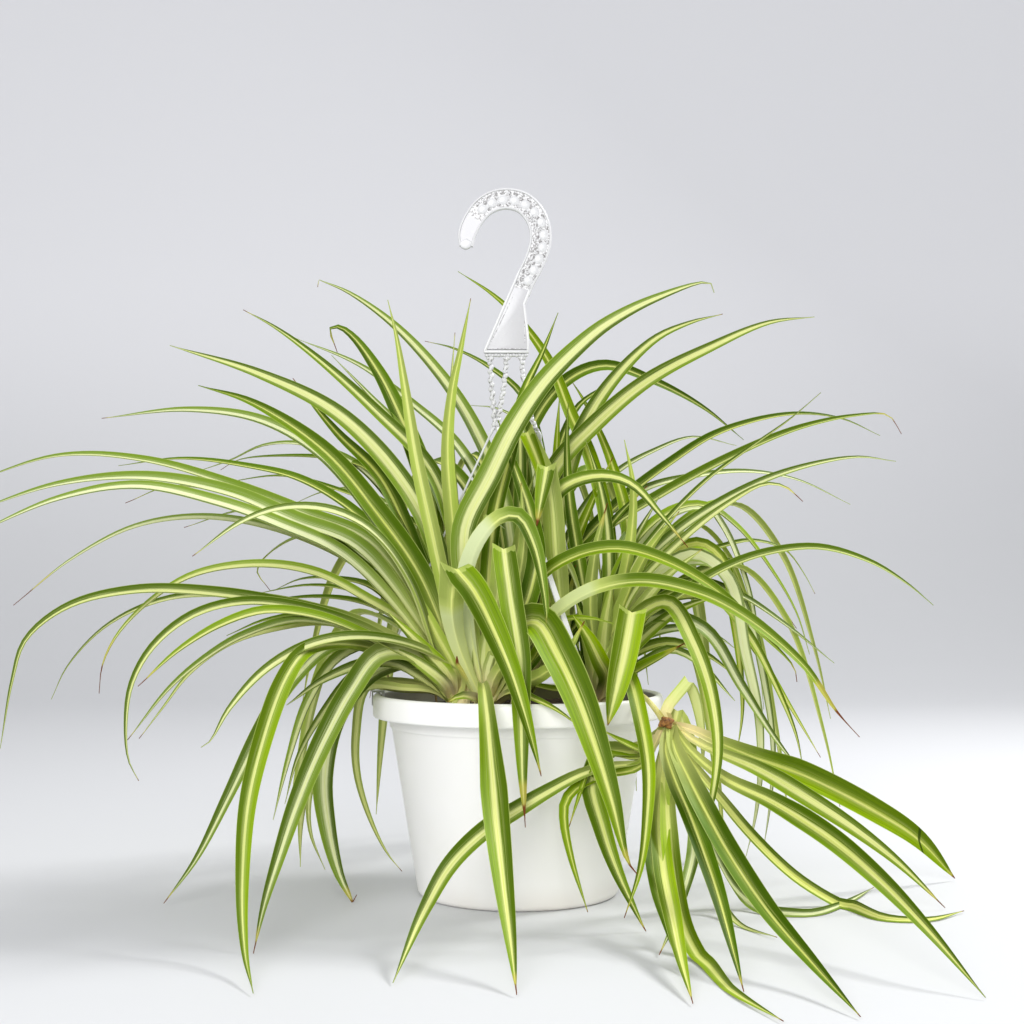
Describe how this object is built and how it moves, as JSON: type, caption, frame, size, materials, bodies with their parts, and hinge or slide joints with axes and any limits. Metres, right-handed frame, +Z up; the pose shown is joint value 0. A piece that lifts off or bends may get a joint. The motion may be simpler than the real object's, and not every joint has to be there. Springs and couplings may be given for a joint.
{
  "type": "potted spider plant",
  "caption": "Variegated spider plant with long arching striped leaves and a trailing young plant, in a white tapered hanging pot with a clear plastic hook hanger.",
  "frame": {"origin": "middle of the pot's flat underside, on the table", "axes": "+Z up along the pot's axis, -Y towards the side the picture shows, +X to its right"},
  "size_m": [0.6938, 0.5847, 0.4884],
  "materials": {
    "pot_plastic": "satin white moulded plastic",
    "soil": "dark moist potting soil",
    "leaf": "smooth striped leaf, cream middle and green margins",
    "dry_root": "dry brown root stubs",
    "dry_stem": "dry tan stalk",
    "clear_plastic": "clear milky moulded plastic"
  },
  "bodies": {
    "root": {"pot": "pot_plastic", "soil": "soil", "rosette_left": "leaf", "rosette_right": "leaf", "rosette_back": "leaf", "plantlet": "leaf", "plantlet_roots": "dry_root", "dry_stalk": "dry_stem", "hanger_hook": "clear_plastic", "strap_left": "clear_plastic", "strap_front": "clear_plastic", "strap_back": "clear_plastic"}
  },
  "joints": []
}
